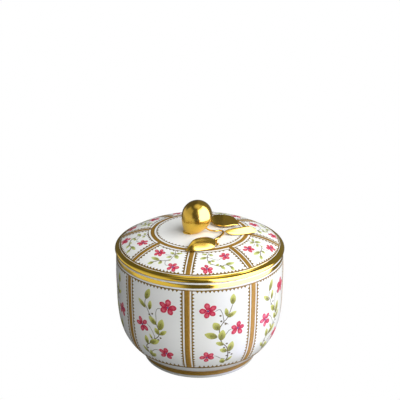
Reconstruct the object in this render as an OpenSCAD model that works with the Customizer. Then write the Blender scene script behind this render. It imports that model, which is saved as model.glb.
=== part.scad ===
// Covered sugar bowl in gilded porcelain, in millimetres.
// The origin is on the bowl's axis, on the plane that the foot stands on, and +Z is up.
// The front of the bowl, where the front leaf of the knob lies, is towards -Y.

/* [Bowl] */
// Largest radius of the bowl's wall
belly_r = 49.9; // [47:0.1:53]
// Height at which the wall is widest
belly_z = 52; // [44:1:58]
// Radius where the wall springs from the foot ring
base_r = 37; // [34:0.5:40]
// Outer radius of the mouth
mouth_r = 49.2; // [46.5:0.1:49.4]
// Height of the mouth, which is the seat of the lid
mouth_z = 69.2; // [66:0.1:74]
// Thickness of the wall
wall = 3; // [2.4:0.1:3.4]
// Height of the inner floor
floor_z = 9.5; // [8.5:0.1:12]

/* [Foot ring] */
// Height of the foot ring
foot_h = 6; // [5:0.5:7]
// Outer radius of the foot ring where it stands
foot_r = 34.8; // [33:0.1:36]
// Inner radius of the foot ring where it stands
foot_bore_r = 31.6; // [28:0.1:32]

/* [Lid] */
// Radius of the lid over its rim bead
lid_r = 50; // [49:0.1:54]
// Radius of the round bead on the rim of the lid
bead_r = 1.4; // [0.9:0.05:1.5]
// Height of the crown of the lid
crown_z = 81; // [79:0.5:84]
// Thickness of the lid at its crown
lid_wall = 3.2; // [2.6:0.1:4]
// Outer radius of the locating flange under the lid
flange_r = 45.7; // [44:0.1:45.9]
// Depth of the flange below its seat
flange_depth = 5.5; // [4:0.5:8]
// Thickness of the flange
flange_wall = 2.6; // [2:0.1:3]

/* [Knob] */
// Radius of the fruit
fruit_r = 8.9; // [8:0.1:11]
// Length of the fruit from its collar to its tip
fruit_l = 20.8; // [18:0.1:23]
// Lean of the fruit away from upright, in degrees
fruit_lean = 25.5; // [15:0.5:32]
// Radius of the flat collar that the fruit stands on
collar_r = 4.2; // [3.6:0.1:5]
// Radius of the main stem
stem_r = 0.55; // [0.4:0.05:1]
// Radius of the twig
twig_r = 0.75; // [0.6:0.05:1.1]
// Thickness of the leaves
leaf_t = 1; // [0.8:0.1:1.6]

/* [Hidden] */
$fn = 96;

porcelain = "#f4f3ee";
unglazed = "#e9e5da";
gilt = "#c99a2e";

// Steps along a profile that follows a formula
profile_steps = 24;
// How sharply the wall turns in to the foot, and the dome of the lid to its rim
wall_power = 4.3;
dome_power = 5.2;
// The dome of the lid falls by these two amounts at its rim: an even fall and a shoulder
dome_fall = 3.2;
shoulder_fall = 5.7;
// Rounding of the mouth, the foot and the flange
lip_r = 0.6;
// Radius of the inner floor where the wall rises from it
floor_r = 32.9;
// Centre of the rim bead, and the radius at which the dome meets it
bead_x = lid_r - bead_r;
bead_z = mouth_z + bead_r + 0.1;
dome_r = bead_x - 0.2;
// Inner radius of the underside of the lid, where the flange stands
inner_dome_r = flange_r - flange_wall;
// How much wider the foot ring is where it meets the bowl, on its outside and its inside
foot_flare = 2.1;
bore_flare = 0.6;
// The fruit stands left of the middle of the crown and leans to the right. Its collar lies flat on the crown.
fruit_at = [-6.4, -4.2];
fruit_turn = 10;
fruit_sink = 0.6;
collar_shift = 0.8;
collar_proud = 1;
// Widest place of the fruit, and the radius of its neck
fruit_widest = 0.56 * fruit_l;
neck_r = 0.36 * fruit_r;
// Middle lines of the main stem, the twig and the twig's hooked stub
stem_route = [[1, -2, 86], [3, -3.4, 83.6], [5.6, -4.6, 82.3], [9, -5.4, 82], [11.6, -4.6, 82], [13.4, -6, 82]];
twig_route = [[13.4, -6, 82], [13.6, -8.6, 82], [12.2, -12, 81.8], [10.2, -15.4, 81.7], [8.4, -17.6, 81.6]];
stub_route = [[9.6, -16.4, 81.6], [9.5, -19, 81.1], [9.8, -21.6, 80.7], [11, -21.6, 80.9]];
// Stalk end of each leaf
front_leaf_at = [8.8, -16.6, 82];
side_leaf_at = [13.6, -5.2, 82.1];
back_leaf_at = [22.2, 5.4, 82.2];

// How far a round outline has closed in, from 0 where it is widest to 1 at its end
function turn_in(from, to, at, power) = pow(abs((from - at) / (from - to)), power);

// Outer radius of the bowl's wall at height z
function wall_r(z) = z < belly_z
    ? belly_r - (belly_r - base_r) * turn_in(belly_z, foot_h, z, wall_power)
    : belly_r - (belly_r - mouth_r) * turn_in(belly_z, mouth_z, z, 2);

// Inner radius of the bowl's wall at height z
function bore_r(z) = z < belly_z
    ? belly_r - wall - (belly_r - wall - floor_r) * turn_in(belly_z, floor_z, z, wall_power)
    : wall_r(z) - wall;

// Height of the lid's outside and underside at radius r
function dome_z(r) = crown_z - dome_fall * pow(r / dome_r, 2) - shoulder_fall * pow(r / dome_r, dome_power);
function underside_z(r) = crown_z - lid_wall - dome_fall * pow(r / inner_dome_r, 2)
    - (crown_z - lid_wall - dome_fall - mouth_z) * pow(r / inner_dome_r, dome_power);

// Points of an arc from angle a to angle b
function arc(cx, cz, r, a, b, steps = 8) =
    [for (i = [0:steps]) [cx + r * cos(a + (b - a) * i / steps), cz + r * sin(a + (b - a) * i / steps)]];

// Even steps from a to b, both included
function steps_between(a, b, n = profile_steps) = [for (i = [0:n]) a + (b - a) * i / n];

// Radius of the fruit at a distance s from its collar: round above its widest place, drawn in below it
function fruit_outline(s) = s > fruit_widest
    ? fruit_r * sqrt(max(0, 1 - pow((s - fruit_widest) / (fruit_l - fruit_widest), 1.9)))
    : fruit_r - (fruit_r - neck_r) * pow((fruit_widest - s) / fruit_widest, 1.8);

module bowl() {
    outside = [for (z = steps_between(foot_h, mouth_z - lip_r)) [wall_r(z), z]];
    lip_out = arc(mouth_r - lip_r, mouth_z - lip_r, lip_r, 0, 90, 5);
    lip_in = arc(mouth_r - wall + lip_r, mouth_z - lip_r, lip_r, 90, 180, 5);
    inside = [for (z = steps_between(mouth_z - 2 * lip_r, floor_z)) [bore_r(z), z]];
    color(porcelain)
        rotate_extrude()
            polygon(concat([[0, foot_h]], outside, lip_out, lip_in, inside, [[0, floor_z]]));
}

module foot_ring() {
    outer_edge = arc(foot_r - lip_r, lip_r, lip_r, -90, 0, 5);
    inner_edge = arc(foot_bore_r + lip_r, lip_r, lip_r, 180, 270, 5);
    color(unglazed)
        rotate_extrude()
            polygon(concat(outer_edge, [[foot_r + 0.3 * foot_flare, 0.6 * foot_h],
                [foot_r + foot_flare, foot_h], [foot_bore_r + bore_flare, foot_h]], inner_edge));
}

module lid() {
    outside = [for (r = steps_between(0, dome_r)) [r, dome_z(r)]];
    bead = arc(bead_x, bead_z, bead_r, 85, -70, 12);
    underside = [for (r = steps_between(inner_dome_r, 0)) [r, underside_z(r)]];
    color(porcelain)
        rotate_extrude()
            polygon(concat(outside, bead, [[bead_x, mouth_z]], underside));
}

module lid_flange() {
    low_z = mouth_z - flange_depth;
    tip_out = arc(flange_r - lip_r, low_z + lip_r, lip_r, 0, -90, 5);
    tip_in = arc(inner_dome_r + lip_r, low_z + lip_r, lip_r, -90, -180, 5);
    color(porcelain)
        rotate_extrude()
            polygon(concat([[inner_dome_r, mouth_z], [flange_r, mouth_z]], tip_out, tip_in));
}

// Solid of everything below the lid's outer surface, which the sprig is laid on
module dome_cutter() {
    rotate_extrude()
        polygon(concat([for (r = steps_between(0, dome_r)) [r, dome_z(r)]], [[dome_r, mouth_z], [0, mouth_z]]));
}

module fruit_knob() {
    steps = steps_between(0, fruit_l, 28);
    base_z = dome_z(norm(fruit_at));
    color(gilt)
        difference() {
            union() {
                translate([fruit_at.x, fruit_at.y, base_z - fruit_sink])
                    rotate([0, fruit_lean, fruit_turn])
                        rotate_extrude()
                            polygon(concat([[0, 0]], [for (s = steps) [fruit_outline(s), s]]));
                translate([fruit_at.x + collar_shift, fruit_at.y, base_z - collar_proud])
                    cylinder(h = 2 * collar_proud, r = collar_r);
            }
            dome_cutter();
        }
}

// A point on the smooth curve through a list of points, at t from 0 to the number of spans
function curve_at(p, t) =
    let (last = len(p) - 1, i = min(floor(t), last - 1), u = t - i)
    let (a = p[max(i - 1, 0)], b = p[i], c = p[i + 1], d = p[min(i + 2, last)])
    b + 0.5 * u * ((c - a) + u * ((2 * a - 5 * b + 4 * c - d) + u * (3 * (b - c) + d - a)));

// A round stem along that curve, with two short lengths to a span
module limb(points, r) {
    ends = [for (i = [0:2 * (len(points) - 1)]) curve_at(points, i / 2)];
    for (i = [0:len(ends) - 2])
        hull() {
            translate(ends[i])
                sphere(r = r, $fn = 12);
            translate(ends[i + 1])
                sphere(r = r, $fn = 12);
        }
}

module sprig_stem() {
    color(gilt) limb(stem_route, stem_r);
}

module sprig_twig() {
    color(gilt) {
        limb(twig_route, twig_r);
        limb(stub_route, twig_r * 0.75);
    }
}

// Outline of a leaf along +X, from its stalk at the origin to its tip
module leaf_outline(l, w) {
    side = [for (i = [0:20]) [l * i / 20, w / 2 * pow(sin(180 * pow(i / 20, 0.85)), 0.8)]];
    polygon(concat(side, [for (i = [19:-1:1]) [side[i].x, -side[i].y]]));
}

// A leaf is a patch of a spherical shell: bend > 0 arches it upwards, and bend < 0 cups it
module leaf(l, w, bend) {
    r = abs(bend);
    centre_z = bend > 0 ? -r : r + leaf_t;
    intersection() {
        translate([0, 0, -l / 2])
            linear_extrude(l)
                leaf_outline(l, w);
        translate([l / 2, 0, centre_z])
            difference() {
                sphere(r = r + leaf_t);
                sphere(r = r);
            }
    }
}

// The front leaf lies over the front of the crown
module front_leaf() {
    color(gilt)
        translate(front_leaf_at)
            rotate([0, 3, -145])
                leaf(20.5, 14.5, 20);
}

// The side leaf lies to the right
module side_leaf() {
    color(gilt)
        translate(side_leaf_at)
            rotate([0, 2, 13])
                leaf(21, 7.5, 30);
}

// The back leaf is cupped and stands up behind the side leaf
module back_leaf() {
    color(gilt)
        translate(back_leaf_at)
            rotate([0, 0, 172])
                rotate([-34, -4, 0])
                    leaf(17, 10.5, -16);
}

bowl();
foot_ring();
lid();
lid_flange();
fruit_knob();
sprig_stem();
sprig_twig();
front_leaf();
side_leaf();
back_leaf();
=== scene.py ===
"""Looks of a covered porcelain sugar bowl: glaze, two kinds of gilding, painted sprigs and a gilded knob.

All sizes below are in millimetres, as in part.scad. Angles around the bowl are in degrees: 0 is the front
(-Y) and they grow towards +X. A motif is drawn in (u, s): u is the arc to the right of its panel's middle
line, and s is the length along the wall, from the foot upwards on the bowl, from the crown outwards on the lid.
"""

import math
import random

import bmesh
import bpy
import numpy as np
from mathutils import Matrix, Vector


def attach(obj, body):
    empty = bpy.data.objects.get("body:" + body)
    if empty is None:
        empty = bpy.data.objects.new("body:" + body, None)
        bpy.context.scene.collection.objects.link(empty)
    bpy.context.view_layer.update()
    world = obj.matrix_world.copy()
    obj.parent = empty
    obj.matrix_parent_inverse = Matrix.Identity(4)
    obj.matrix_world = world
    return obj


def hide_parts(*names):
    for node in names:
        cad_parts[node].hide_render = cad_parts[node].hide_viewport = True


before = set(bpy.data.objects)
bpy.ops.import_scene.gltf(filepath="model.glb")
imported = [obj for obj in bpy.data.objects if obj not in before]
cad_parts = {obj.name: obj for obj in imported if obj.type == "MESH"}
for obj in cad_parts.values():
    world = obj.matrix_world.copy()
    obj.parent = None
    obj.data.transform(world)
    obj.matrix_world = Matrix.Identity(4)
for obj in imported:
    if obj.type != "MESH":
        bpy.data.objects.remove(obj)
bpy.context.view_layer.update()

MM = 0.001
rng = random.Random(7)

# The same shapes as in part.scad
BELLY_R = 49.9
BELLY_Z = 52
BASE_R = 37
MOUTH_R = 49.2
MOUTH_Z = 69.2
WALL = 3
FLOOR_Z = 9.5
FLOOR_R = 32.9
FOOT_H = 6
LIP_R = 0.6
CROWN_Z = 81
DOME_R = 48.4
BEAD_X = 48.6
BEAD_Z = 70.7
BEAD_R = 1.35
INNER_DOME_R = 43.1
INNER_CROWN_Z = 77.8
FLANGE_R = 45.7
FLANGE_Z = 63.7
FRUIT_AT = (-6.4, -4.2)
FRUIT_R = 8.88
FRUIT_L = 20.78
FRUIT_LEAN = 25.5
FRUIT_TURN = 10
COLLAR_R = 4.2
LEAF_T = 0.8

# How far the dome falls to its rim: evenly, and then in the steep part near the rim, outside and inside
DOME_FALL = 3.2
DOME_RIM_FALL = 5.7
INNER_RIM_FALL = 5.4
# How late the wall and the dome turn: a higher power keeps them flat for longer
WALL_POWER = 4.3
DOME_POWER = 5.2

# Steps around every turned shape
AROUND = 240
# How far a coat stands off the porcelain, and how far its edge dips in
LIFT = 0.035
DIP = -0.03
# Width of the rounded edge of a coat
EDGE = 0.04
# Heights on the axis that the faces of the bowl's and the lid's coats look away from
BOWL_CORE = 40
LID_CORE = 60

# Layout of the decoration
PANELS = 8
FIRST_BAND = -8
BOWL_BAND_W = 3.1
BOWL_GAP = 0.8
LID_BAND_W = 2.6
LID_GAP = 0.6
LINE_W = 0.75
TOOTH_H = 1.2
TOOTH_W = 1.75
# Heights of the bowl's rim band, of its upper toothed line and of the band on the foot
RIM_BAND = (66.2, 68.75)
TOP_LINE_Z = 64.6
FOOT_BAND = (2, 5.9)
# Length s of the top of the bowl's lower toothed line
LOW_LINE_S = 9.6
# Radii of the lid's ring and of its outer, inner and central toothed lines
RING_BAND = (26.5, 28.8)
OUTER_LINE_R = 46.5
INNER_LINE_R = 30.4
CENTRE_LINE_R = 24.9


# Shapes of the turned parts


def wall_r(z):
    """Outer radius of the bowl at height z."""
    if z < BELLY_Z:
        return BELLY_R - (BELLY_R - BASE_R) * ((BELLY_Z - z) / (BELLY_Z - FOOT_H)) ** WALL_POWER
    return BELLY_R - (BELLY_R - MOUTH_R) * ((z - BELLY_Z) / (MOUTH_Z - BELLY_Z)) ** 2


def bore_r(z):
    """Inner radius of the bowl at height z."""
    if z < BELLY_Z:
        inner = BELLY_R - WALL
        return inner - (inner - FLOOR_R) * ((BELLY_Z - z) / (BELLY_Z - FLOOR_Z)) ** WALL_POWER
    return wall_r(z) - WALL


def dome_z(r):
    """Height of the lid's outside at radius r."""
    share = r / DOME_R
    return CROWN_Z - DOME_FALL * share**2 - DOME_RIM_FALL * share**DOME_POWER


def underside_z(r):
    """Height of the lid's underside at radius r."""
    share = r / INNER_DOME_R
    return INNER_CROWN_Z - DOME_FALL * share**2 - INNER_RIM_FALL * share**DOME_POWER


def spread(a, b, steps):
    """Even steps from a to b, both included."""
    return [a + (b - a) * i / steps for i in range(steps + 1)]


def arc(cx, cz, r, start, end, steps=8):
    """Points of an arc in the (radius, height) plane."""
    turns = [math.radians(d) for d in spread(start, end, steps)]
    return [(cx + r * math.cos(t), cz + r * math.sin(t)) for t in turns]


class Wall:
    """A turned surface that coats are laid on: a profile with its length s and its outward normal."""

    def __init__(self, profile, outward):
        points = np.array(profile, float)
        self.r, self.z = points[:, 0], points[:, 1]
        steps = np.hypot(np.diff(self.r), np.diff(self.z))
        self.s = np.concatenate([[0], np.cumsum(steps)])
        dr, dz = np.gradient(self.r, self.s), np.gradient(self.z, self.s)
        size = np.hypot(dr, dz) * outward
        self.nr, self.nz = dz / size, -dr / size

    def radius(self, s):
        return float(np.interp(s, self.s, self.r))

    def at_height(self, z):
        """The length s at height z, where the profile rises all the way."""
        return float(np.interp(z, self.z, self.s))

    def at_radius(self, r):
        """The length s at radius r, where the profile widens all the way."""
        return float(np.interp(r, self.r, self.s))

    def point(self, turn, s, lift):
        """The point at angle turn (radians) and length s, standing off by lift."""
        r = np.interp(s, self.s, self.r) + lift * np.interp(s, self.s, self.nr)
        z = np.interp(s, self.s, self.z) + lift * np.interp(s, self.s, self.nz)
        return (r * math.sin(turn), -r * math.cos(turn), z)


BOWL = Wall([(wall_r(z), z) for z in spread(FOOT_H, MOUTH_Z - LIP_R, 400)], 1)
DOME = Wall([(r, dome_z(r)) for r in spread(0, DOME_R, 400)], -1)
RIM = Wall([(r, dome_z(r)) for r in spread(46, DOME_R, 40)] + arc(BEAD_X, BEAD_Z, BEAD_R, 85, -42, 60), -1)
# The length at which the gilding of the lid's rim begins
RIM_START = 1.55
FOOT = Wall([(34.8, 0.6), (35.43, 3.6), (36.9, 6)], 1)


# Meshes


class Mesh:
    """Points, faces and paint values that are collected before a piece is made of them."""

    def __init__(self):
        self.points = []
        self.faces = []
        self.paint = []

    def grid(self, rows, wrap=False):
        """Rows of (point, paint) joined into quads. With wrap, each row is a closed loop."""
        first = len(self.points)
        width = len(rows[0])
        for row in rows:
            for point, paint in row:
                self.points.append(point)
                self.paint.append(paint)
        across = width if wrap else width - 1
        for i in range(len(rows) - 1):
            for j in range(across):
                a = first + i * width + j
                b = first + i * width + (j + 1) % width
                self.faces.append((a, b, b + width, a + width))

    def face(self, corners):
        """One face of its own corners, as (point, paint)."""
        first = len(self.points)
        for point, paint in corners:
            self.points.append(point)
            self.paint.append(paint)
        self.faces.append(tuple(range(first, first + len(corners))))


def weld(mesh, core_z):
    """Joins points that lie together, and turns every face outwards."""
    bm = bmesh.new()
    bm.from_mesh(mesh)
    bmesh.ops.remove_doubles(bm, verts=bm.verts, dist=2e-7)
    if core_z is None:
        bmesh.ops.recalc_face_normals(bm, faces=bm.faces)
    else:
        core = Vector((0, 0, core_z * MM))
        bm.normal_update()
        inward = [f for f in bm.faces if f.normal.dot(f.calc_center_median() - core) < 0]
        bmesh.ops.reverse_faces(bm, faces=inward)
    bm.to_mesh(mesh)
    bm.free()


def make_piece(name, shape, material, body, core_z=None, nodes=()):
    """Makes the piece and puts it on its body. A coat's faces look away from the point core_z on the axis."""
    mesh = bpy.data.meshes.new(name)
    mesh.from_pydata([[c * MM for c in p] for p in shape.points], [], shape.faces)
    paint = mesh.color_attributes.new("paint", "FLOAT_COLOR", "POINT")
    paint.data.foreach_set("color", [c for p in shape.paint for c in (*p, 1)])
    weld(mesh, core_z)
    mesh.polygons.foreach_set("use_smooth", [True] * len(mesh.polygons))
    mesh.materials.append(material)
    piece = bpy.data.objects.new(name, mesh)
    bpy.context.scene.collection.objects.link(piece)
    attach(piece, body)
    if nodes:
        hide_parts(*nodes)
    return piece


def lathe(profile, paint):
    """A turned solid from a closed profile of (radius, height)."""
    shape = Mesh()
    turns = [2 * math.pi * i / AROUND for i in range(AROUND)]
    rows = []
    for r, z in profile + [profile[0]]:
        rows.append([((r * math.sin(t), -r * math.cos(t), z), paint(r, z)) for t in turns])
    shape.grid(rows, wrap=True)
    return shape


# Porcelain pieces


def bowl_profile():
    """The outside, the rounded lip, the inside and the floor."""
    outside = [(wall_r(z), z) for z in spread(FOOT_H, MOUTH_Z - LIP_R, 70)]
    lip_out = arc(MOUTH_R - LIP_R, MOUTH_Z - LIP_R, LIP_R, 0, 90)[1:]
    lip_in = arc(MOUTH_R - WALL + LIP_R, MOUTH_Z - LIP_R, LIP_R, 90, 180)
    inside = [(bore_r(z), z) for z in spread(MOUTH_Z - 2 * LIP_R, FLOOR_Z, 60)]
    floor = [(r, FLOOR_Z) for r in (30, 24, 16, 8, 0)]
    underside = [(r, FOOT_H) for r in (0, 10, 20, 28, 34)]
    return outside + lip_out + lip_in + inside + floor + underside


def foot_profile():
    """The low ring that the bowl stands on."""
    outer = arc(34.2, 0.6, 0.6, -90, 0) + [(35, 1.6), (35.2, 2.6), (35.43, 3.6), (36.1, 4.7), (36.9, 6)]
    inner = [(32.2, 6), (32, 4), (31.8, 2)] + arc(32.2, 0.6, 0.6, 180, 270)
    return outer + inner


def lid_profile():
    """The dome, the round bead on its rim and the hollow underside."""
    outside = [(r, dome_z(r)) for r in spread(0, DOME_R, 70)]
    bead = arc(BEAD_X, BEAD_Z, BEAD_R, 85, -70, 16)
    seat = [(BEAD_X, MOUTH_Z), (46.5, MOUTH_Z), (44.5, MOUTH_Z)]
    underside = [(r, underside_z(r)) for r in spread(INNER_DOME_R, 0, 50)]
    return outside + bead + seat + underside


def flange_profile():
    """The ring under the lid that drops into the mouth."""
    outer = [(INNER_DOME_R, MOUTH_Z), (FLANGE_R, MOUTH_Z), (FLANGE_R, 67)]
    tip_out = arc(FLANGE_R - 0.6, FLANGE_Z + 0.6, 0.6, 0, -90)
    tip_in = arc(INNER_DOME_R + 0.6, FLANGE_Z + 0.6, 0.6, -90, -180)
    return outer + tip_out + tip_in + [(INNER_DOME_R, 67)]


# Coats on the turned shapes


def ring_coat(shape, wall, s0, s1, rows=2):
    """A band of gilding all the way round, from s0 to s1, with its edges dipped into the glaze."""
    turns = [2 * math.pi * i / AROUND for i in range(AROUND)]
    steps = [(s0, DIP, 1), (s0 + EDGE, LIFT, 0.5)]
    steps += [(s, LIFT, 0) for s in spread(s0 + EDGE, s1 - EDGE, rows)[1:-1]]
    steps += [(s1 - EDGE, LIFT, 0.5), (s1, DIP, 1)]
    grid = []
    for s, lift, side in steps:
        grid.append([(wall.point(t, s, lift), (0.5 + 0.5 * math.sin(t), side, 0.5)) for t in turns])
    shape.grid(grid, wrap=True)


def strip_coat(shape, wall, middle, u0, u1, s0, s1):
    """A band of gilding along the wall, from u0 to u1 beside the middle angle."""
    columns = [(u0, DIP, 1), (u0 + EDGE, LIFT, 0.5)]
    columns += [(u, LIFT, 0) for u in spread(u0 + EDGE, u1 - EDGE, 3)[1:-1]]
    columns += [(u1 - EDGE, LIFT, 0.5), (u1, DIP, 1)]
    grid = []
    for s in spread(s0, s1, max(2, round((s1 - s0) / 0.8))):
        r = wall.radius(s)
        along = (s - s0) / (s1 - s0)
        grid.append([(wall.point(middle + u / r, s, lift), (along, side, 0.5)) for u, lift, side in columns])
    shape.grid(grid)


def tooth(shape, wall, middle, base, tip, half):
    """A small triangle from its base middle to its tip, both in (u, s). half is half the base's width."""
    along = (tip[0] - base[0], tip[1] - base[1])
    size = math.hypot(*along)
    side = (-along[1] / size * half, along[0] / size * half)
    corners = [(base[0] + side[0], base[1] + side[1]), (base[0] - side[0], base[1] - side[1]), tip]
    centre = (sum(c[0] for c in corners) / 3, sum(c[1] for c in corners) / 3)
    tone = rng.random()
    upper, lower = [], []
    for u, s in corners:
        inner = (centre[0] + 0.86 * (u - centre[0]), centre[1] + 0.86 * (s - centre[1]))
        turn = middle + inner[0] / wall.radius(inner[1])
        upper.append((wall.point(turn, inner[1], LIFT), (0.5, 0.3, tone)))
        lower.append((wall.point(middle + u / wall.radius(s), s, DIP), (0.5, 1, tone)))
    shape.face(upper)
    shape.grid([upper, lower], wrap=True)


def ring_teeth(shape, wall, s0, s1, count, clear=0.0):
    """Teeth on a ring line, from s0 to s1. Those under a band are left out: clear is the band's half width."""
    r = wall.radius(s0)
    first, panel = math.radians(FIRST_BAND), math.radians(360 / PANELS)
    for i in range(count * PANELS):
        turn = panel * (i + 0.5) / count
        off = abs(turn - panel * round(turn / panel)) * r
        if off > clear:
            tooth(shape, wall, first + turn, (0, s0), (0, s1), TOOTH_W / 2)


def side_teeth(shape, wall, middle, u0, u1, s0, s1, pitch):
    """Teeth down the outside of a band's thin line, from u0 to u1."""
    count = round((s1 - s0) / pitch)
    for s in spread(s0, s1, count)[:-1]:
        place = s + 0.5 * (s1 - s0) / count
        tooth(shape, wall, middle, (u0, place), (u1, place), TOOTH_W / 2)


def bands(gold, lines, wall, ends, line_ends, pitch, width, gap):
    """The eight upright bands: gold in the middle, and a toothed thin line beyond a white gap on each side."""
    s0, s1 = line_ends
    for k in range(PANELS):
        middle = math.radians(FIRST_BAND + k * 360 / PANELS)
        strip_coat(gold, wall, middle, -width / 2, width / 2, *ends)
        for side in (-1, 1):
            inner = width / 2 + gap
            outer = inner + LINE_W
            low, high = sorted((side * inner, side * outer))
            strip_coat(lines, wall, middle, low, high, s0, s1)
            foot = side * (outer - 0.1)
            side_teeth(lines, wall, middle, foot, foot + side * TOOTH_H, s0 + 0.8, s1 - 0.8, pitch)


# Painted motifs


def blob(shape, place, outline, centre, paint, rings=(0, 0.45, 0.8, 0.96)):
    """A small painted shape inside an outline. place turns (u, s, lift) into a point."""
    grid = []
    for share in rings:
        loop = []
        for u, s in outline:
            pu = centre[0] + share * (u - centre[0])
            ps = centre[1] + share * (s - centre[1])
            loop.append((place(pu, ps, LIFT), paint(pu, ps, share)))
        grid.append(loop)
    grid.append([(place(u, s, DIP), paint(u, s, 1)) for u, s in outline])
    shape.grid(grid, wrap=True)


def oval(base, tip, width, widest, blunt, steps=11):
    """Outline of a petal or leaf from base to tip, widest at that share of it. blunt rounds its ends."""
    du, ds = tip[0] - base[0], tip[1] - base[1]
    size = math.hypot(du, ds)
    side = (-ds / size, du / size)
    power = math.log(0.5) / math.log(widest)
    right, left = [], []
    for i in range(steps + 1):
        a = 0.5 - 0.5 * math.cos(math.pi * i / steps)
        half = width / 2 * max(0, math.sin(math.pi * a**power)) ** blunt
        right.append((base[0] + a * du + half * side[0], base[1] + a * ds + half * side[1]))
        left.append((base[0] + a * du - half * side[0], base[1] + a * ds - half * side[1]))
    return right + left[-2:0:-1]


def along_paint(base, tip, tone):
    """Paint values of a petal or leaf: how far along it, how near its edge, and its own tone."""
    du, ds = tip[0] - base[0], tip[1] - base[1]
    size = du * du + ds * ds

    def paint(u, s, edge):
        along = ((u - base[0]) * du + (s - base[1]) * ds) / size
        return (min(1, max(0, along)), edge, tone)

    return paint


def petal(shape, place, centre, direction, length, width):
    """One rounded petal that starts a little way off the flower's centre."""
    du, ds = math.cos(math.radians(direction)), math.sin(math.radians(direction))
    base = (centre[0] + 0.35 * du, centre[1] + 0.35 * ds)
    tip = (centre[0] + length * du, centre[1] + length * ds)
    middle = ((base[0] + 1.2 * tip[0]) / 2.2, (base[1] + 1.2 * tip[1]) / 2.2)
    outline = oval(base, tip, width, 0.58, 0.55)
    blob(shape, place, outline, middle, along_paint(base, tip, rng.random()))


def flower(petals, hearts, place, centre, directions, width):
    """Petals around a small violet heart. directions holds the direction and the reach of each petal."""
    for direction, reach in directions:
        length = reach * rng.uniform(0.97, 1.03)
        petal(petals, place, centre, direction, length, width * rng.uniform(0.93, 1.07))
    dot = [(centre[0] + 0.62 * math.cos(a), centre[1] + 0.58 * math.sin(a)) for a in spread(0, 5.8, 9)]
    blob(hearts, place, dot, centre, along_paint(centre, dot[0], rng.random()), (0, 0.9))


def leaf(leaves, place, base, tip, width):
    """One painted leaf, pointed at its tip."""
    middle = (0.55 * base[0] + 0.45 * tip[0], 0.55 * base[1] + 0.45 * tip[1])
    outline = oval(base, tip, width * 1.06, 0.48, 0.68)
    blob(leaves, place, outline, middle, along_paint(base, tip, rng.random()))


def curve(points, steps):
    """A smooth line through the points, with that many steps from one to the next."""
    pts = [np.array(p, float) for p in points]
    line = []
    for i in range(len(pts) - 1):
        a, b, c, d = pts[max(i - 1, 0)], pts[i], pts[i + 1], pts[min(i + 2, len(pts) - 1)]
        for k in range(steps):
            t = k / steps
            line.append(b + 0.5 * t * ((c - a) + t * ((2 * a - 5 * b + 4 * c - d) + t * (3 * (b - c) + d - a))))
    line.append(pts[-1])
    return line


def brush_line(stems, place, points, start, end):
    """A brushed stem through the points, from one width to the other."""
    line = curve(points, 6)
    grid = []
    for i, p in enumerate(line):
        a, b = line[max(i - 1, 0)], line[min(i + 1, len(line) - 1)]
        du, ds = b[0] - a[0], b[1] - a[1]
        size = math.hypot(du, ds) or 1
        along = i / (len(line) - 1)
        half = 0.5 * (start + (end - start) * along) * rng.uniform(0.85, 1.15)
        row = []
        for side, lift in ((-1, DIP), (-0.7, LIFT), (0.7, LIFT), (1, DIP)):
            u, s = p[0] - side * half * ds / size, p[1] + side * half * du / size
            row.append((place(u, s, lift * 0.8), (along, abs(side), 0.5)))
        grid.append(row)
    stems.grid(grid)


def bud(stems, place, u, s, size):
    """A small dark bud beside the stem."""
    dot = [(u + size * math.cos(a), s + 0.85 * size * math.sin(a)) for a in spread(0, 5.6, 7)]
    blob(stems, place, dot, (u, s), along_paint((u, s), dot[0], rng.random()), (0, 0.85))


# The painted sprigs, in (u, s). The panels have the first and the second kind by turns. A leaf is its base, its
# tip and its width. A flower is its centre, the direction and the reach of each petal, and the petals' width.
BOWL_SPRIG_A = {
    "leaves": [
        ((6, 53), (6.5, 59.5), 3.4),
        ((3, 46), (2, 51.5), 2.3),
        ((3, 45.5), (8.5, 48.5), 2.5),
        ((-1.5, 38), (-5, 43), 4.2),
        ((-2.5, 33.5), (-10, 36), 4),
        ((-0.5, 31), (0.5, 38), 4.2),
        ((1.5, 28), (-3.5, 30), 2.6),
        ((4.5, 22.5), (6.5, 29.5), 3.7),
        ((3.5, 23), (-1, 25), 3),
        ((3.5, 14.5), (7, 18.5), 1.7),
        ((2, 13), (0.5, 17.5), 3.2),
    ],
    "stem": [(6, 53), (4, 47.5), (2.5, 44.5), (0.5, 42.5), (-1.5, 38), (-0.5, 31), (1.5, 28), (3, 26), (4, 22),
        (4, 17.5), (2, 13)],
    "tendrils": [
        [(-4, 50), (-1.5, 51), (0, 48.5), (0.5, 46.5), (1, 43.5)],
        [(5.5, 37.5), (4, 37), (2.5, 35), (1, 33)],
        [(-4, 20.5), (-2.5, 20), (0, 18), (2.5, 17)],
        [(0.5, 42.5), (2.5, 42), (3.5, 41)],
    ],
    "buds": [(-0.5, 43.5), (2, 41.5), (-1, 47), (3, 28.5), (1.5, 26), (3.5, 19.5), (6.5, 20), (5, 21.5)],
    "flowers": [
        ((-8, 50.5), ((100, 5), (30, 5.2), (-35, 4.9), (-105, 4.7), (180, 5.1)), 3.4),
        ((9.5, 37.5), ((80, 4.4), (10, 4), (-60, 4.8), (-140, 4.9), (160, 4.4)), 2.9),
        ((-8, 19.5), ((105, 4.4), (40, 4.5), (-10, 4.3), (-95, 3.9), (180, 4.5)), 3),
    ],
}
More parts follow.
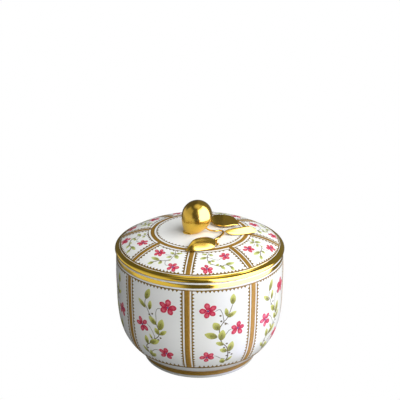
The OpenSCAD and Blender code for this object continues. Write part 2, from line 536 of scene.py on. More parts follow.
BOWL_SPRIG_B = {
    "leaves": [
        ((-6, 53), (-3, 60), 3.4),
        ((-6, 47.5), (-11.5, 52), 2.7),
        ((-3.5, 47), (-2.5, 53), 2.6),
        ((1, 38.5), (-4, 43), 3.3),
        ((3, 35.5), (5, 43), 3.9),
        ((2.5, 32.5), (0, 36.5), 2.9),
        ((3, 32.5), (7.5, 36), 2.4),
        ((-6, 23.5), (-7, 29.5), 3),
        ((-4.5, 25), (2.5, 28.5), 3.5),
        ((-2, 28), (-4, 31.5), 1.4),
        ((-7, 16.5), (-10.5, 21), 2),
        ((-5, 13.5), (-4.5, 19.5), 2.6),
        ((-5, 13.5), (-1.5, 17.5), 2.6),
    ],
    "stem": [(-6, 53), (-6.5, 50), (-5, 47.5), (-3.5, 44.5), (-1, 41.5), (1, 39), (2.5, 35.5), (2.5, 32),
        (-0.5, 28.5), (-4, 25), (-6.5, 23), (-7.5, 20.5), (-6.5, 16.5), (-5, 13)],
    "tendrils": [
        [(4, 49.5), (2, 49), (1, 46.5), (1, 42.5), (1, 39)],
        [(-5.5, 37.5), (-3.5, 36), (-2, 34), (-0.5, 30.5), (-1, 28.5)],
        [(2, 21.5), (-1, 21), (-3, 19.5), (-5, 17.5)],
    ],
    "buds": [(-3.5, 44), (-1.5, 45), (3.5, 30.5), (2, 29), (-6.5, 20.5), (-7, 17.5)],
    "flowers": [
        ((8.5, 51), ((85, 5.1), (5, 5.2), (-60, 4.8), (-145, 5.3), (155, 5.5)), 3.4),
        ((-9, 36), ((115, 5.2), (45, 4.7), (-35, 5.1), (-95, 4.6), (175, 4.9)), 2.9),
        ((6, 20), ((90, 4.4), (5, 4.6), (-60, 4.6), (-140, 4.9), (155, 4.8)), 3),
    ],
}

# The sprigs of the lid's panels. s grows outwards, so each is drawn from the ring towards the rim.
LID_SPRIG_A = {
    "leaves": [
        ((-4, 32), (-7, 32.5), 1.5),
        ((-5, 35), (-9, 36.5), 2),
        ((-3, 32.5), (-1, 34), 1.8),
        ((-3.5, 38.5), (-1, 38.5), 1.7),
        ((-4.5, 38), (-4.5, 41), 1.7),
        ((-1.5, 42.5), (0.5, 41), 1.5),
        ((1, 42.5), (3, 45.5), 1.9),
        ((4, 42), (9.5, 42), 2),
        ((6.5, 44), (8, 47), 1.9),
    ],
    "stem": [(-2.5, 31), (-4.5, 34.5), (-5, 38), (-4, 40.5), (-1.5, 42), (1, 43), (4, 42.5), (6.5, 44)],
    "tendrils": [
        [(-4.5, 35), (-3, 36), (-1, 37.5), (1, 38), (3, 37)],
        [(-4.5, 41.5), (-4, 40.5), (-3.5, 41.5)],
    ],
    "buds": [(-4.5, 35), (-4, 38.5), (1, 42.5), (6.5, 44)],
    "flowers": [
        ((5.5, 35.5), ((190, 3.6), (-105, 3.1), (-20, 3.3), (60, 3.5), (120, 3.7)), 2.3),
        ((-7, 44), ((-85, 3), (0, 3.3), (55, 3.6), (125, 3.7), (185, 3.4)), 2.3),
    ],
}
LID_SPRIG_B = {
    "leaves": [
        ((-2, 41), (-8, 41), 2.2),
        ((-4.5, 43.5), (-7.5, 46), 1.9),
        ((0, 41.5), (-1, 44), 2),
        ((3.5, 36.5), (0.5, 38), 1.7),
        ((3.5, 34), (0.5, 33), 1.8),
        ((4, 33.5), (7.5, 32), 1.8),
        ((4.5, 34.5), (7.5, 37.5), 2.2),
        ((3, 39.5), (4.5, 39.5), 1.2),
    ],
    "stem": [(2.5, 31), (4, 34), (4, 36.5), (3.5, 39.5), (0, 41), (-2, 41.5), (-4, 43), (-5, 43.5)],
    "tendrils": [
        [(-1, 36), (2, 35.5), (3.5, 34)],
        [(5, 43.5), (3.5, 43.5), (2.5, 42.5), (2, 41), (3, 39.5)],
    ],
    "buds": [(4, 34), (-1, 41.5), (3.5, 39.5)],
    "flowers": [
        ((-5.5, 35.5), ((185, 3.7), (-80, 3), (-10, 3.9), (50, 3.8), (115, 3.8)), 2.3),
        ((8, 44), ((-150, 3.7), (-80, 3), (0, 3.8), (55, 3.6), (140, 3.2)), 2.3),
    ],
}


def panel_place(wall, index):
    """The function that puts (u, s, lift) of a motif on that panel."""
    middle = math.radians(FIRST_BAND + (index + 0.5) * 360 / PANELS)

    def place(u, s, lift):
        return wall.point(middle + u / wall.radius(s), s, lift)

    return place


def paint_sprigs(wall, kinds, bold):
    """The sprigs of all eight panels, as separate meshes for petals, hearts, leaves and stems."""
    petals, hearts, greens, stems = Mesh(), Mesh(), Mesh(), Mesh()
    for index in range(PANELS):
        sprig = kinds[index % 2]
        place = panel_place(wall, index)
        brush_line(stems, place, sprig["stem"], 0.45 * bold, 0.7 * bold)
        for tendril in sprig["tendrils"]:
            brush_line(stems, place, tendril, 0.32 * bold, 0.42 * bold)
        for u, s in sprig["buds"]:
            bud(stems, place, u, s, 0.75 * bold)
        for base, tip, width in sprig["leaves"]:
            leaf(greens, place, base, tip, width)
        for centre, directions, width in sprig["flowers"]:
            flower(petals, hearts, place, centre, directions, width)
    return petals, hearts, greens, stems


# The gilded knob


def fruit_r(s):
    """Radius of the fruit at a distance s from its collar."""
    widest = 0.56 * FRUIT_L
    if s > widest:
        return FRUIT_R * math.sqrt(max(0, 1 - ((s - widest) / (FRUIT_L - widest)) ** 1.9))
    return FRUIT_R - 0.64 * FRUIT_R * ((widest - s) / widest) ** 1.8


def fruit_mesh():
    """The leaning fruit, round at its tip and narrow at its neck, and the collar that it stands on."""
    shape = Mesh()
    base = Vector((*FRUIT_AT, dome_z(math.hypot(*FRUIT_AT)) - 0.6))
    lean, swing = math.radians(FRUIT_LEAN), math.radians(FRUIT_TURN)
    axis = Vector((math.sin(lean) * math.cos(swing), math.sin(lean) * math.sin(swing), math.cos(lean)))
    across = Vector((math.cos(lean) * math.cos(swing), math.cos(lean) * math.sin(swing), -math.sin(lean)))
    beside = axis.cross(across)
    rows = []
    for step in range(61):
        share = math.sin(0.5 * math.pi * step / 60)
        s = FRUIT_L * share
        r = fruit_r(s)
        row = []
        for i in range(96):
            t = 2 * math.pi * i / 96
            p = base + axis * s + (across * math.cos(t) + beside * math.sin(t)) * r
            row.append((tuple(p), (share, 0, 0.5)))
        rows.append(row)
    shape.grid([[(tuple(base), (0, 0, 0.5))] * 96] + rows, wrap=True)
    add_collar(shape)
    return shape


def add_collar(shape):
    """The low round collar around the fruit's neck."""
    cx, cy = FRUIT_AT[0] + 0.8, FRUIT_AT[1]
    low = dome_z(math.hypot(*FRUIT_AT)) - 0.5
    outline = [(0, 0), (COLLAR_R - 0.6, 0), (COLLAR_R - 0.05, 0.1), (COLLAR_R, 0.6), (COLLAR_R - 0.1, 1.1)]
    outline += [(COLLAR_R - 0.5, 1.42), (COLLAR_R - 0.9, 1.48), (0, 1.48)]
    rows = []
    for r, z in outline:
        loop = []
        for i in range(72):
            t = 2 * math.pi * i / 72
            loop.append(((cx + r * math.cos(t), cy + r * math.sin(t), low + z), (0, 0.5, 0.5)))
        rows.append(loop)
    shape.grid(rows, wrap=True)


def tube(shape, points, radii, steps=8, sides=14):
    """A round limb along a smooth line through the points. radii are its radii, spread along it."""
    line = [Vector(p) for p in curve(points, steps)]
    last = len(line) - 1
    up = Vector((0, 0, 1))
    rows = []
    for i, p in enumerate(line):
        ahead = (line[min(i + 1, last)] - line[max(i - 1, 0)]).normalized()
        side = ahead.cross(up).normalized()
        top = side.cross(ahead)
        r = float(np.interp(i / last, spread(0, 1, len(radii) - 1), radii))
        loop = []
        for k in range(sides):
            t = 2 * math.pi * k / sides
            loop.append((tuple(p + (side * math.cos(t) + top * math.sin(t)) * r), (i / last, 0, 0.5)))
        rows.append(loop)
    start = [(tuple(line[0]), (0, 0, 0.5))] * sides
    end = [(tuple(line[-1]), (1, 0, 0.5))] * sides
    shape.grid([start] + rows + [end], wrap=True)


def blade(base, tip, sides, thick):
    """A leaf lofted across lines that run from its base to its tip, given from its far edge to its near one."""
    lines = [curve([base] + side + [tip], 12) for side in sides]
    top = [curve([line[i] for line in lines], 8) for i in range(len(lines[0]))]
    return close_blade(np.array(top), thick)


def close_blade(top, thick):
    """Gives a sheet of points a thickness and a rounded rim, and returns it as a closed mesh."""
    rows, columns = top.shape[:2]
    da = np.gradient(top, axis=0)
    dt = np.gradient(top, axis=1)
    normal = np.cross(da, dt)
    size = np.linalg.norm(normal, axis=2, keepdims=True)
    flat = np.mean(normal / np.maximum(size, 1e-6), axis=(0, 1))
    normal = np.where(size > 1e-4, normal / np.maximum(size, 1e-6), flat)
    if flat[2] < 0:
        normal = -normal
    shape = Mesh()
    for level in (0, 1):
        grid = []
        for a in range(rows):
            row = []
            for k in range(columns):
                edge = abs(2 * k / (columns - 1) - 1)
                end = abs(2 * a / (rows - 1) - 1)
                rim = max(edge, end) ** 8
                depth = thick * (0.5 * rim if level == 0 else 1 - 0.5 * rim)
                row.append((tuple(top[a, k] - normal[a, k] * depth), (a / (rows - 1), edge, level)))
            grid.append(row)
        shape.grid(grid)
    return shape


def front_leaf_mesh():
    """The broad leaf over the front of the crown: a shallow trough behind its midrib, and a steep near half."""
    far = [(5.2, -19.6, 84.3), (0.2, -21.9, 85), (-4.2, -25, 84.3)]
    trough = [(5.6, -22.7, 82.6), (0.6, -24.9, 83.1), (-3.6, -27.2, 82.8)]
    midrib = [(6.2, -23.7, 83), (0.9, -26.1, 83.6), (-3.6, -28.2, 83.2)]
    near = [(8.4, -26, 80.8), (2.8, -29.4, 80.5), (-3.4, -30.8, 80.5)]
    return blade((9.4, -19.8, 82.6), (-8.2, -30, 80.2), [far, trough, midrib, near], LEAF_T)


def side_leaf_mesh():
    """The slender leaf to the right: a narrow flat lip behind its ridge, and a face that falls to the front."""
    lip = [(17.7, -5.8, 83.6), (23.8, -3.8, 83.8), (30, -1.6, 83.3)]
    ridge = [(17.6, -6.9, 83.8), (23.7, -5, 84), (29.9, -2.8, 83.5)]
    middle = [(17.5, -8.1, 82.8), (23.6, -6.5, 82.5), (29.8, -4, 82.1)]
    near = [(17.5, -9.2, 81.6), (23.6, -8, 80.8), (29.8, -5.2, 80.4)]
    return blade((13.8, -8.4, 83.1), (33.8, -2.5, 80.3), [lip, ridge, middle, near], LEAF_T)


def back_leaf_mesh():
    """The broad leaf behind the side leaf. It slopes to the front and falls off steeply at its near rim."""
    far = [(20.3, 10.8, 84.6), (14.4, 12.1, 85.6), (8.5, 12.4, 85.1)]
    middle = [(20.9, 6.9, 83.4), (14.4, 6.5, 83.6), (8.2, 7.8, 83.7)]
    near = [(20.2, 3.6, 82.7), (14.3, 1.8, 82.8), (8.7, 4, 82.9)]
    rim = [(20.1, 3.1, 82), (14.3, 1.1, 82), (8.8, 3.5, 82.3)]
    return blade((23.7, 4.4, 81.9), (6.6, 7.6, 84.3), [far, middle, near, rim], LEAF_T)


# Materials


class Nodes:
    """Short ways to add nodes to an empty tree."""

    def __init__(self, owner, kind):
        owner.use_nodes = True
        self.nodes = owner.node_tree.nodes
        self.links = owner.node_tree.links
        self.nodes.clear()
        self.surface = self.nodes.new("ShaderNodeOutput" + kind).inputs["Surface"]

    def put(self, socket, value):
        """Links a socket to a value, or sets a plain number or colour on it."""
        if isinstance(value, bpy.types.NodeSocket):
            self.links.new(value, socket)
        elif isinstance(value, tuple):
            socket.default_value = (*value, 1)
        else:
            socket.default_value = value

    def math(self, kind, a, b=0.0):
        """One sum on two values."""
        node = self.nodes.new("ShaderNodeMath")
        node.operation = kind
        self.put(node.inputs[0], a)
        self.put(node.inputs[1], b)
        return node.outputs[0]

    def choose(self, switch, a, b):
        """Shader a where the switch is 0, and shader b where it is 1."""
        node = self.nodes.new("ShaderNodeMixShader")
        self.links.new(switch, node.inputs[0])
        self.links.new(a, node.inputs[1])
        self.links.new(b, node.inputs[2])
        return node.outputs[0]


class Paint(Nodes):
    """A new material with its shader, its place texture coordinates and short ways to add nodes."""

    def __init__(self, name):
        self.material = bpy.data.materials.new(name)
        super().__init__(self.material, "Material")
        self.shader = self.nodes.new("ShaderNodeBsdfPrincipled")
        self.links.new(self.shader.outputs[0], self.surface)
        self.place = self.nodes.new("ShaderNodeTexCoord").outputs["Object"]

    def noise(self, size, detail=3, stretch=(1, 1, 1)):
        """Noise with lumps of about that size in millimetres. Returns its value."""
        mapping = self.nodes.new("ShaderNodeMapping")
        mapping.inputs["Scale"].default_value = stretch
        texture = self.nodes.new("ShaderNodeTexNoise")
        texture.inputs["Scale"].default_value = 1 / (size * MM)
        texture.inputs["Detail"].default_value = detail
        self.links.new(self.place, mapping.inputs["Vector"])
        self.links.new(mapping.outputs[0], texture.inputs["Vector"])
        return texture.outputs["Fac"]

    def painted(self):
        """The paint values of the mesh: along, edge and tone."""
        attribute = self.nodes.new("ShaderNodeAttribute")
        attribute.attribute_name = "paint"
        split = self.nodes.new("ShaderNodeSeparateColor")
        self.links.new(attribute.outputs["Color"], split.inputs[0])
        return split.outputs[0], split.outputs[1], split.outputs[2]

    def ramp(self, value, stops):
        """A colour for each value, from stops of (value, colour)."""
        node = self.nodes.new("ShaderNodeValToRGB")
        ramp = node.color_ramp
        while len(ramp.elements) < len(stops):
            ramp.elements.new(0.5)
        for element, (where, colour) in zip(ramp.elements, stops):
            element.position = where
            element.color = (*colour, 1)
        self.links.new(value, node.inputs[0])
        return node.outputs[0]

    def mix(self, amount, a, b):
        """Two colours mixed by an amount, which is a number or a socket."""
        node = self.nodes.new("ShaderNodeMix")
        node.data_type = "RGBA"
        self.put(node.inputs["Factor"], amount)
        self.put(node.inputs[6], a)
        self.put(node.inputs[7], b)
        return node.outputs[2]

    def fit(self, value, low, high, to_low, to_high):
        """Carries a value from one range to another, and keeps it there."""
        node = self.nodes.new("ShaderNodeMapRange")
        for name, number in (("From Min", low), ("From Max", high), ("To Min", to_low), ("To Max", to_high)):
            node.inputs[name].default_value = number
        self.links.new(value, node.inputs["Value"])
        return node.outputs[0]

    def bump(self, height, depth):
        """Bump of that depth in millimetres."""
        node = self.nodes.new("ShaderNodeBump")
        node.inputs["Strength"].default_value = 1
        node.inputs["Distance"].default_value = depth * MM
        self.links.new(height, node.inputs["Height"])
        self.links.new(node.outputs[0], self.shader.inputs["Normal"])

    def set(self, **values):
        """Sets the shader's inputs by name, with spaces written as underscores."""
        for name, value in values.items():
            self.put(self.shader.inputs[name.replace("_", " ")], value)


def glaze_material(name, thin=(0.83, 0.845, 0.83), thick=(0.875, 0.88, 0.865), bare=False):
    """Porcelain under a clear glaze, clouded from thin to thick. With bare, its lowest edge is unglazed. Thin
    and thick given darker paint shade into it.
    """
    p = Paint(name)
    cloud = p.noise(22, 4)
    speck = p.noise(0.9, 2)
    white = p.ramp(cloud, [(0.3, thin), (0.7, thick)])
    white = p.mix(p.fit(speck, 0.7, 0.78, 0, 0.25), white, (0.72, 0.71, 0.66))
    rough = p.fit(p.noise(9, 4), 0.3, 0.7, 0.16, 0.24)
    if bare:
        unglazed = p.painted()[0]
        white = p.mix(unglazed, white, (0.74, 0.7, 0.62))
        rough = p.math("MAXIMUM", rough, p.math("MULTIPLY", unglazed, 0.75))
    p.set(Base_Color=white, Roughness=rough, Specular_IOR_Level=0.1)
    p.bump(p.mix(0.3, p.noise(7, 2), p.noise(1.6, 2)), 0.012)
    return p.material


def mirror_gold_material(name, deep, pale, patina=0.0, soft=0.0):
    """Burnished gold: bright, with faint burnishing strokes and a little orange peel from the glaze below."""
    p = Paint(name)
    edge = p.painted()[1]
    wear = p.fit(p.noise(3.5, 5), 0.58, 0.72, 0, 0.5)
    gold = p.ramp(p.noise(12, 3), [(0.3, deep), (0.7, pale)])
    gold = p.mix(wear, gold, deep)
    gold = p.mix(p.fit(edge, 0.9, 1, 0, patina), gold, (0.38, 0.22, 0.05))
    strokes = p.noise(0.35, 3, (1, 1, 0.12))
    p.set(Base_Color=gold, Metallic=1.0, Roughness=p.fit(strokes, 0.3, 0.75, 0.08 + soft, 0.15 + soft))
    p.bump(p.mix(0.35, p.noise(2.6, 3), strokes), 0.006)
    return p.material


def flat_gold_material(name, deep, pale):
    """Flat gilding: thin matt gold with brown fired into it, a little worn at its edges."""
    p = Paint(name)
    _, edge, tone = p.painted()
    patches = p.noise(1.3, 4)
    gold = p.ramp(patches, [(0.3, deep), (0.72, pale)])
    gold = p.mix(p.fit(p.noise(0.28, 3), 0.55, 0.75, 0, 0.35), gold, (0.30, 0.15, 0.02))
    gold = p.mix(p.fit(edge, 0.3, 1, 0, 0.35), gold, (0.26, 0.13, 0.02))
    gold = p.mix(p.fit(tone, 0, 1, 0, 0.2), gold, (0.30, 0.17, 0.03))
    p.set(Base_Color=gold, Metallic=0.2, Roughness=p.fit(p.noise(0.6, 3), 0.3, 0.7, 0.42, 0.58))
    p.set(Specular_IOR_Level=0.1)
    p.bump(p.mix(0.5, p.noise(0.4, 3), patches), 0.01)
    return p.material


def petal_material():
    """Crimson enamel: deep at the petal's edge and base, with pink brushed through its middle."""
    p = Paint("petal_enamel")
    along, edge, tone = p.painted()
    streak = p.noise(0.5, 3, (1.6, 1.6, 0.7))
    pink = p.mix(p.fit(streak, 0.3, 0.7, 0, 1), (0.76, 0.10, 0.16), (0.86, 0.30, 0.34))
    red = p.mix(p.fit(streak, 0.35, 0.7, 0, 1), (0.44, 0.010, 0.045), (0.64, 0.035, 0.09))
    inside = p.math("MULTIPLY", p.fit(edge, 0.25, 0.85, 1, 0), p.fit(along, 0.15, 0.6, 0.1, 1))
    strength = p.math("MULTIPLY", inside, p.fit(tone, 0, 1, 0.45, 1))
    colour = p.mix(strength, red, pink)
    p.set(Base_Color=colour, Roughness=p.fit(p.noise(0.8, 2), 0.3, 0.7, 0.25, 0.4))
    p.set(Specular_IOR_Level=0.1)
    p.bump(streak, 0.01)
    return p.material


def heart_material():
    """The small blue-violet heart of a flower."""
    p = Paint("heart_enamel")
    blue = p.ramp(p.noise(0.4, 2), [(0.3, (0.03, 0.03, 0.14)), (0.7, (0.10, 0.09, 0.34))])
    p.set(Base_Color=blue, Roughness=p.fit(p.noise(0.3, 2), 0.3, 0.7, 0.25, 0.4))
    p.set(Specular_IOR_Level=0.1)
    p.bump(p.noise(0.3, 2), 0.008)
    return p.material


def leaf_material(name, dark, middle, light):
    """Green enamel: brown-olive at the leaf's base and midrib, yellow-green towards its tip and edge."""
    p = Paint(name)
    along, edge, tone = p.painted()
    streak = p.noise(0.6, 3)
    shade = p.math("ADD", p.fit(along, 0, 0.75, -0.06, 0.62), p.fit(streak, 0.3, 0.7, -0.2, 0.2))
    shade = p.math("ADD", shade, p.fit(edge, 0.1, 0.9, -0.1, 0.22))
    green = p.ramp(shade, [(0.02, dark), (0.3, middle), (0.75, light)])
    green = p.mix(p.fit(tone, 0, 1, 0, 0.3), green, middle)
    p.set(Base_Color=green, Roughness=p.fit(p.noise(0.7, 2), 0.3, 0.7, 0.25, 0.4))
    p.set(Specular_IOR_Level=0.1)
    p.bump(streak, 0.01)
    return p.material


def stem_material():
    """Thin brown-grey brush lines that break up a little."""
    p = Paint("stem_enamel")
    edge = p.painted()[1]
    brown = p.ramp(p.noise(0.7, 3), [(0.3, (0.045, 0.035, 0.02)), (0.7, (0.20, 0.16, 0.08))])
    brown = p.mix(p.fit(edge, 0.7, 1, 0, 0.4), brown, (0.5, 0.48, 0.38))
    p.set(Base_Color=brown, Roughness=p.fit(p.noise(0.4, 2), 0.3, 0.7, 0.3, 0.45))
    p.set(Specular_IOR_Level=0.1)
    p.bump(p.noise(0.3, 2), 0.008)
    return p.material


# Building the object


def plain(r, z):
    return (0, 0, 0.5)


def foot_paint(r, z):
    """The first value says where the foot is unglazed."""
    return (1 if z < 0.15 else 0, 0, 0.5)


def build_porcelain():
    """The four white pieces, in place of their CAD parts. The foot ring's glaze is a grey, as painted shade
    under the belly.
    """
    glaze = glaze_material("porcelain_glaze")
    # The foot's glaze colours are darkened to grey: painted shade, where the foot stands in the shadow under
    # the bowl's belly.
    foot = glaze_material("foot_glaze_painted_shade", (0.52, 0.53, 0.505), (0.58, 0.585, 0.56), bare=True)
    make_piece("bowl_porcelain", lathe(bowl_profile(), plain), glaze, "bowl", nodes=["bowl"])
    ring = lathe(foot_profile(), foot_paint)
    make_piece("foot_porcelain", ring, foot, "bowl", nodes=["foot_ring"])
    make_piece("lid_porcelain", lathe(lid_profile(), plain), glaze, "lid", nodes=["lid"])
    flange = lathe(flange_profile(), plain)
    make_piece("flange_porcelain", flange, glaze, "lid", nodes=["lid_flange"])


def build_bowl_gilding():
    """Rim band, upright bands, toothed lines and the band on the foot."""
    mirror = mirror_gold_material("rim_gold", (0.83, 0.55, 0.065), (0.87, 0.58, 0.08))
    flat = flat_gold_material("band_gold", (0.29, 0.155, 0.02), (0.39, 0.225, 0.038))
    line_gold = flat_gold_material("line_gold", (0.13, 0.08, 0.008), (0.23, 0.14, 0.015))
    rim, band, lines, foot = Mesh(), Mesh(), Mesh(), Mesh()
    ring_coat(rim, BOWL, BOWL.at_height(RIM_BAND[0]), BOWL.at_height(RIM_BAND[1]), 4)
    top = BOWL.at_height(TOP_LINE_Z)
    ring_coat(lines, BOWL, top, top + 0.7)
    ring_teeth(lines, BOWL, top + 0.1, top - TOOTH_H, 17, 4.2)
    low = LOW_LINE_S
    ring_coat(lines, BOWL, low - 1.5, low)
    ring_teeth(lines, BOWL, low - 0.1, low + 2.3, 14, 4.2)
    bands(band, lines, BOWL, (low - 0.6, top + 0.7), (low, top), 2.17, BOWL_BAND_W, BOWL_GAP)
    ring_coat(foot, FOOT, FOOT.at_height(FOOT_BAND[0]), FOOT.at_height(FOOT_BAND[1]), 6)
    make_piece("bowl_rim_gilding", rim, mirror, "bowl", BOWL_CORE)
    make_piece("bowl_band_gilding", band, flat, "bowl", BOWL_CORE)
    make_piece("bowl_line_gilding", lines, line_gold, "bowl", BOWL_CORE)
    # The foot band's gold is darker than the other flat gold: painted shade, where the foot stands in the
    # shadow under the bowl's belly.
    foot_gold_painted_shade = flat_gold_material("foot_gold_painted_shade", (0.19, 0.11, 0.012), (0.29, 0.17, 0.025))
    make_piece("foot_gilding", foot, foot_gold_painted_shade, "bowl", BOWL_CORE)
    return mirror, flat, line_gold


def build_lid_gilding(mirror, flat, line_gold):
    """Rim bead, ring around the crown, radial bands and toothed lines."""
    rim, ring, band, lines = Mesh(), Mesh(), Mesh(), Mesh()
    ring_coat(rim, RIM, RIM_START, float(RIM.s[-1]), 26)
    ring_coat(ring, DOME, DOME.at_radius(RING_BAND[0]), DOME.at_radius(RING_BAND[1]), 4)
    outer = DOME.at_radius(OUTER_LINE_R)
    ring_coat(lines, DOME, outer, outer + 0.75)
    ring_teeth(lines, DOME, outer + 0.1, outer - 1.1, 17, 3.8)
    inner = DOME.at_radius(INNER_LINE_R)
    ring_coat(lines, DOME, inner - 0.5, inner)
    ring_teeth(lines, DOME, inner - 0.1, inner + 1, 10, 3.8)
    centre = DOME.at_radius(CENTRE_LINE_R)
    ring_coat(lines, DOME, centre, centre + 0.5)
    ring_teeth(lines, DOME, centre + 0.1, centre - 1, 8)
    ends = (DOME.at_radius(28.7), outer + 0.75)
    bands(band, lines, DOME, ends, (inner - 0.5, outer), 2.1, LID_BAND_W, LID_GAP)
    make_piece("lid_rim_gilding", rim, mirror, "lid", LID_CORE)
    make_piece("lid_ring_gilding", ring, flat, "lid", LID_CORE)
    make_piece("lid_band_gilding", band, flat, "lid", LID_CORE)
    make_piece("lid_line_gilding", lines, line_gold, "lid", LID_CORE)


def build_sprigs():
    """The painted flowers, leaves and stems."""
    red = petal_material()
    blue = heart_material()
    green = leaf_material("leaf_enamel", (0.045, 0.04, 0.012), (0.29, 0.29, 0.065), (0.62, 0.64, 0.18))
    pale = leaf_material("pale_leaf_enamel", (0.08, 0.075, 0.02), (0.34, 0.36, 0.10), (0.62, 0.68, 0.26))
    brown = stem_material()
    bowl = paint_sprigs(BOWL, (BOWL_SPRIG_A, BOWL_SPRIG_B), 1)
    lid = paint_sprigs(DOME, (LID_SPRIG_A, LID_SPRIG_B), 0.75)
    for body, meshes, leaf_paint, core in (("bowl", bowl, green, BOWL_CORE), ("lid", lid, pale, LID_CORE)):
        petals, hearts, greens, stems = meshes
        make_piece(body + "_petals", petals, red, body, core)
        make_piece(body + "_flower_hearts", hearts, blue, body, core)
        make_piece(body + "_leaves", greens, leaf_paint, body, core)
        make_piece(body + "_stems", stems, brown, body, core)


def build_knob():
    """The gilded fruit and its sprig."""
    gold = mirror_gold_material("knob_gold", (0.72, 0.46, 0.065), (0.78, 0.50, 0.08), 0.3, 0.07)
    stem, twig = Mesh(), Mesh()
    route = [(1, -2, 86), (3, -3.4, 83.6), (5.6, -4.6, 82.3), (9, -5.4, 82), (11.6, -4.6, 82), (13.4, -6, 82)]
    tube(stem, route, [0.8, 0.5, 0.45, 0.5, 0.5, 0.55])
    tube(twig, [(13.4, -6, 82), (13.6, -8.6, 82), (12.2, -12, 81.8), (10.2, -15.4, 81.7), (8.4, -17.6, 81.6)],
        [0.6, 0.7, 0.6, 0.75, 0.7])
    tube(twig, [(9.6, -16.4, 81.6), (9.5, -19, 81.1), (9.8, -21.6, 80.7), (11, -21.6, 80.9)],
        [0.55, 0.5, 0.5, 0.55])
    make_piece("fruit", fruit_mesh(), gold, "lid", nodes=["fruit_knob"])
    make_piece("main_stem", stem, gold, "lid", nodes=["sprig_stem"])
    make_piece("twig", twig, gold, "lid", nodes=["sprig_twig"])
    make_piece("gilt_leaf_front", front_leaf_mesh(), gold, "lid", nodes=["front_leaf"])
    make_piece("gilt_leaf_side", side_leaf_mesh(), gold, "lid", nodes=["side_leaf"])
    make_piece("gilt_leaf_back", back_leaf_mesh(), gold, "lid", nodes=["back_leaf"])


# Studio


class Sky(Nodes):
    """The studio around the bowl: plain light and dark walls, by direction."""

    def __init__(self):
        world = bpy.data.worlds.new("studio")
        bpy.context.scene.world = world
        super().__init__(world, "World")
        coordinate = self.nodes.new("ShaderNodeTexCoord")
        split = self.nodes.new("ShaderNodeSeparateXYZ")
        self.links.new(coordinate.outputs["Generated"], split.inputs[0])
        x, y, z = split.outputs[0], split.outputs[1], split.outputs[2]
        self.turn = self.math("ARCTAN2", x, self.math("MULTIPLY", y, -1))
        self.rise = self.math("ARCSINE", z)

    def step(self, value, at, soft):
        """Goes from 0 to 1 around an angle in degrees."""
        node = self.nodes.new("ShaderNodeMapRange")
        node.interpolation_type = "SMOOTHSTEP"
        node.inputs["From Min"].default_value = math.radians(at - soft)
        node.inputs["From Max"].default_value = math.radians(at + soft)
        self.links.new(value, node.inputs["Value"])
        return node.outputs[0]

    def wall(self, turn, rise, strength, soft=3.0):
        """A wall of light between two turns and two rises, in degrees."""
        left = self.step(self.turn, turn[0], soft)
        right = self.math("SUBTRACT", 1, self.step(self.turn, turn[1], soft))
        low = self.step(self.rise, rise[0], soft)
        high = self.math("SUBTRACT", 1, self.step(self.rise, rise[1], soft))
        area = self.math("MULTIPLY", self.math("MULTIPLY", left, right), self.math("MULTIPLY", low, high))
        return self.math("MULTIPLY", area, strength)

    def total(self, parts, base):
        """All walls added to an even light."""
        light = base
        for part in parts:
            light = self.math("ADD", part, light)
        return light

    def colour(self, red_green, blue):
        """A light whose blue differs from its red and green."""
        node = self.nodes.new("ShaderNodeCombineColor")
        self.links.new(red_green, node.inputs[0])
        self.links.new(red_green, node.inputs[1])
        self.links.new(blue, node.inputs[2])
        return node.outputs[0]

    def lit(self, strength, colour=(1, 1, 1)):
        """Light of that strength and colour."""
        node = self.nodes.new("ShaderNodeBackground")
        self.put(node.inputs["Color"], colour)
        self.put(node.inputs["Strength"], strength)
        return node.outputs[0]


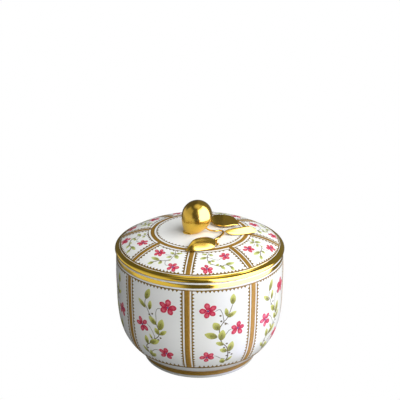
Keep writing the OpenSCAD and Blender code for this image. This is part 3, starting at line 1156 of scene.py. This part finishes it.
def build_sky():
    """A bright wall on the right, a weaker one on the left and a dark gap between them.

    The camera sees plain white. Polished surfaces mirror the walls. Matt ones are lit by a softer sky.
    """
    sky = Sky()
    bright = sky.total([
        sky.wall((16, 106), (-8, 58), 5, 5),
        sky.wall((22, 108), (-60, -8), 5, 6),
    ], 0)
    dim = sky.total([
        sky.wall((-136, -37), (-10, 18), 0.6, 8),
        sky.wall((-110, -44), (18, 52), 0.42, 7),
        sky.wall((0, 112), (26, 80), 0.5, 9),
        sky.wall((-100, -24), (-60, -8), 0.42, 8),
        sky.wall((-130, -17), (-60, -8), 0.2, 8),
        sky.wall((-200, 200), (73, 120), 0.8, 9),
        sky.wall((104, 200), (-60, 90), 0.08, 5),
    ], 0.12)
    blue = sky.math("ADD", sky.math("MULTIPLY", bright, 1.9), dim)
    mirrored = sky.colour(sky.math("ADD", bright, dim), blue)
    shining = sky.total([
        sky.wall((8, 114), (9, 65), 3.3, 10),
        sky.wall((-200, 200), (20, 120), 0.22, 10),
    ], 0.13)
    path = sky.nodes.new("ShaderNodeLightPath")
    seen = sky.choose(path.outputs["Is Glossy Ray"], sky.lit(shining), sky.lit(1.0, mirrored))
    backdrop = sky.choose(path.outputs["Is Camera Ray"], seen, sky.lit(1.0))
    sky.links.new(backdrop, sky.surface)


def build_floor():
    """A plain flat floor. The camera sees it white, and polished surfaces don't mirror it."""
    mesh = bpy.data.meshes.new("floor")
    side = 2.0
    corners = [(-side, -side, 0), (side, -side, 0), (side, side, 0), (-side, side, 0)]
    mesh.from_pydata(corners, [], [(0, 1, 2, 3)])
    floor = bpy.data.objects.new("floor", mesh)
    bpy.context.scene.collection.objects.link(floor)
    p = Paint("floor_white")
    p.set(Base_Color=(0.32, 0.32, 0.32), Roughness=0.9, Specular_IOR_Level=0)
    glow = p.nodes.new("ShaderNodeEmission")
    glow.inputs["Strength"].default_value = 1
    path = p.nodes.new("ShaderNodeLightPath")
    p.links.new(p.choose(path.outputs["Is Camera Ray"], p.shader.outputs[0], glow.outputs[0]), p.surface)
    mesh.materials.append(p.material)
    floor.visible_glossy = False


def build_camera():
    """A long lens from a little above. The bowl stands low in the frame."""
    data = bpy.data.cameras.new("camera")
    data.sensor_width = 36
    data.lens = 76.2
    data.shift_x = 0.0008
    data.shift_y = 0.229
    camera = bpy.data.objects.new("camera", data)
    bpy.context.scene.collection.objects.link(camera)
    camera.location = (0, -0.4609, 0.2693)
    camera.rotation_euler = (math.radians(63.55), 0, 0)
    bpy.context.scene.camera = camera


build_porcelain()
build_lid_gilding(*build_bowl_gilding())
build_sprigs()
build_knob()
build_sky()
build_floor()
build_camera()
bpy.context.scene.view_settings.view_transform = "Standard"
